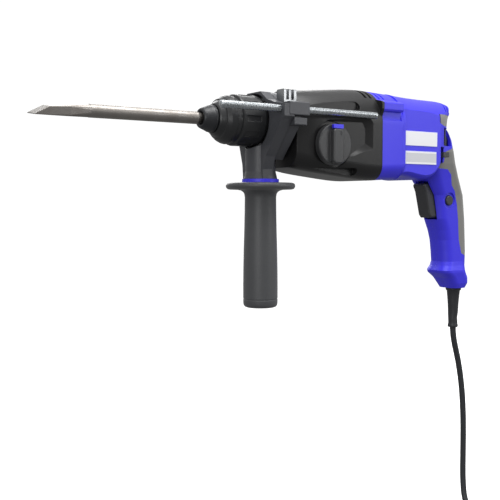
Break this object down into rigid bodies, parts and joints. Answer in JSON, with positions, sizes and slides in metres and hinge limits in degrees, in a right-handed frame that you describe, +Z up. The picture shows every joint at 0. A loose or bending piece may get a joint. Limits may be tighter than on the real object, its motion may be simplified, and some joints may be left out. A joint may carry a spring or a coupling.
{
  "type": "rotary hammer",
  "caption": "Corded pistol-grip rotary hammer with a locking-sleeve chuck, flat chisel, turnable side handle, depth rod, mode knob, trigger and mains lead.",
  "frame": {"origin": "middle of the rear pistol grip, on the tool's centre plane, where a hand holds it", "axes": "+X from the chisel tip to the rear grip, along the spindle; +Y to the tool's right side; +Z up, from the grip towards the spindle"},
  "size_m": [0.568, 0.2004, 0.5617],
  "materials": {
    "tool_steel": "satin, warm grey",
    "dark_steel": "ground, oiled",
    "bearing_steel": "polished",
    "zinc_rod": "zinc plated",
    "plated_strap": "bright plated",
    "strap_steel": "plated strip",
    "cast_alloy": "as cast",
    "cap_rubber": "matt",
    "sleeve_plastic": "fine grain",
    "gear_case_plastic": "fine grain, slight sheen",
    "knob_plastic": "fine grain",
    "blue_plastic": "satin, royal blue",
    "soft_grey": "soft moulded, grey",
    "slate_plastic": "fine grain, slate grey",
    "side_grip_rubber": "fine texture",
    "trigger_plastic": "satin",
    "label_white": "blank plate",
    "lamination_steel": "stacked sheet",
    "copper_wire": "enamelled copper",
    "holder_brass": "pressed",
    "carbon": "pressed carbon",
    "cord_rubber": "matt rubber",
    "pin_metal": "nickel plated"
  },
  "bodies": {
    "housing": {"gear_housing": "gear_case_plastic", "neck_collar": "cast_alloy", "motor_housing": "blue_plastic", "handle_shell_left": "blue_plastic", "handle_shell_right": "blue_plastic", "soft_grip": "soft_grey", "housing_screws": "dark_steel", "vent_grille": "trigger_plastic", "label_plates": "label_white", "shaft_bearings": "bearing_steel", "bearing_castings": "cast_alloy", "spindle_seal": "cap_rubber", "stator_core": "lamination_steel", "field_coils": "copper_wire", "trigger_switch": "trigger_plastic", "cord_clamp": "trigger_plastic", "strain_relief": "cord_rubber", "mains_lead": "cord_rubber", "lead_coil": "cord_rubber", "lead_tie": "cord_rubber", "mains_plug": "cord_rubber", "plug_pins": "pin_metal"},
    "spindle": {"spindle_tube": "dark_steel", "spindle_gear": "dark_steel", "clutch_plates": "dark_steel", "locking_balls": "bearing_steel", "dust_cap": "cap_rubber"},
    "chuck_sleeve": {"locking_sleeve": "sleeve_plastic", "sleeve_ring": "sleeve_plastic"},
    "chisel": {"flat_chisel": "tool_steel"},
    "impact_bolt": {"impact_bolt": "dark_steel"},
    "striker": {"striker": "dark_steel"},
    "piston": {"hammer_piston": "cast_alloy", "piston_pin": "dark_steel"},
    "wobble": {"wobble_ring": "dark_steel"},
    "countershaft": {"countershaft": "dark_steel", "countershaft_gear": "dark_steel", "shift_sleeve": "dark_steel", "wobble_hub": "dark_steel", "wobble_balls": "bearing_steel"},
    "armature": {"armature_shaft": "dark_steel", "armature_core": "lamination_steel", "armature_windings": "copper_wire", "commutator": "copper_wire", "cooling_fan": "trigger_plastic"},
    "brush_ring": {"brush_plate": "trigger_plastic", "brush_holders": "holder_brass", "carbon_brushes": "carbon"},
    "mode_knob": {"mode_knob": "knob_plastic"},
    "mode_release": {"mode_release": "blue_plastic"},
    "shift_fork": {"shift_fork": "dark_steel"},
    "trigger": {"trigger": "trigger_plastic"},
    "lock_button": {"lock_button": "trigger_plastic"},
    "side_clamp": {"clamp_band": "strap_steel", "handle_bracket": "slate_plastic", "rod_latch": "plated_strap", "grip_collar": "blue_plastic"},
    "clamp_bolt": {"clamp_bolt": "dark_steel"},
    "side_grip": {"side_grip": "side_grip_rubber"},
    "depth_rod": {"depth_rod": "zinc_rod"}
  },
  "joints": [
    {"name": "spindle_rotation", "type": "hinge", "parent": "housing", "child": "spindle", "pos_m": [-0.285, 0, 0.11], "axis": [1, 0, 0], "continuous": true},
    {"name": "countershaft_rotation", "type": "hinge", "parent": "housing", "child": "countershaft", "pos_m": [-0.205, 0, 0.0785], "axis": [1, 0, 0], "continuous": true},
    {"name": "armature_rotation", "type": "hinge", "parent": "housing", "child": "armature", "pos_m": [-0.105, 0, 0.101], "axis": [1, 0, 0], "continuous": true},
    {"name": "sleeve_slide", "type": "slide", "parent": "spindle", "child": "chuck_sleeve", "axis": [1, 0, 0], "range_m": [0, 0.007], "stiffness_N_per_m": 900, "springref_m": -0.006},
    {"name": "chisel_play", "type": "slide", "parent": "spindle", "child": "chisel", "axis": [1, 0, 0], "range_m": [-0.008, 0]},
    {"name": "impact_bolt_slide", "type": "slide", "parent": "spindle", "child": "impact_bolt", "axis": [1, 0, 0], "range_m": [-0.005, 0]},
    {"name": "striker_slide", "type": "slide", "parent": "housing", "child": "striker", "axis": [1, 0, 0], "range_m": [-0.009, 0.0015]},
    {"name": "wobble_swing", "type": "hinge", "parent": "housing", "child": "wobble", "pos_m": [-0.195, 0, 0.0785], "axis": [0, 1, 0], "range_deg": [-9, 9]},
    {"name": "piston_stroke", "type": "slide", "parent": "housing", "child": "piston", "axis": [1, 0, 0], "range_m": [-0.005, 0.005]},
    {"name": "brush_ring_turn", "type": "hinge", "parent": "housing", "child": "brush_ring", "pos_m": [-0.049, 0, 0.101], "axis": [1, 0, 0], "range_deg": [-7, 7]},
    {"name": "mode_knob_turn", "type": "hinge", "parent": "housing", "child": "mode_knob", "pos_m": [-0.21, -0.046, 0.0863], "axis": [0, 1, 0], "range_deg": [-90, 90]},
    {"name": "mode_release_press", "type": "slide", "parent": "mode_knob", "child": "mode_release", "axis": [0, 1, 0], "range_m": [0, 0.0015], "stiffness_N_per_m": 600, "springref_m": -0.001},
    {"name": "shift_fork_slide", "type": "slide", "parent": "housing", "child": "shift_fork", "axis": [1, 0, 0], "range_m": [-0.003, 0.003]},
    {"name": "trigger_pull", "type": "slide", "parent": "housing", "child": "trigger", "axis": [1, 0, 0], "range_m": [0, 0.006], "stiffness_N_per_m": 1200, "springref_m": -0.004},
    {"name": "lock_button_press", "type": "slide", "parent": "housing", "child": "lock_button", "axis": [0, 1, 0], "range_m": [0, 0.002], "stiffness_N_per_m": 800, "springref_m": -0.001},
    {"name": "side_handle_turn", "type": "hinge", "parent": "housing", "child": "side_clamp", "pos_m": [-0.263, 0, 0.11], "axis": [1, 0, 0], "range_deg": [-180, 5]},
    {"name": "side_grip_screw", "type": "hinge", "parent": "side_clamp", "child": "side_grip", "pos_m": [-0.2742, 0, 0.01], "axis": [0, 0, 1], "range_deg": [0, 540]},
    {"name": "clamp_bolt_draw", "type": "slide", "parent": "side_clamp", "child": "clamp_bolt", "axis": [0, 0, 1], "range_m": [0, 0.0019]},
    {"name": "depth_rod_slide", "type": "slide", "parent": "side_clamp", "child": "depth_rod", "axis": [1, 0, 0], "range_m": [-0.09, 0.01]}
  ],
  "couplings": [
    {"joint": "countershaft_rotation", "follows": "spindle_rotation", "ratio": -3.8462},
    {"joint": "armature_rotation", "follows": "spindle_rotation", "ratio": 15.385},
    {"joint": "piston_stroke", "follows": "wobble_swing", "m_per_rad": 0.0315},
    {"joint": "shift_fork_slide", "follows": "mode_knob_turn", "m_per_rad": 0.0019},
    {"joint": "clamp_bolt_draw", "follows": "side_grip_screw", "m_per_rad": 0.0002}
  ]
}
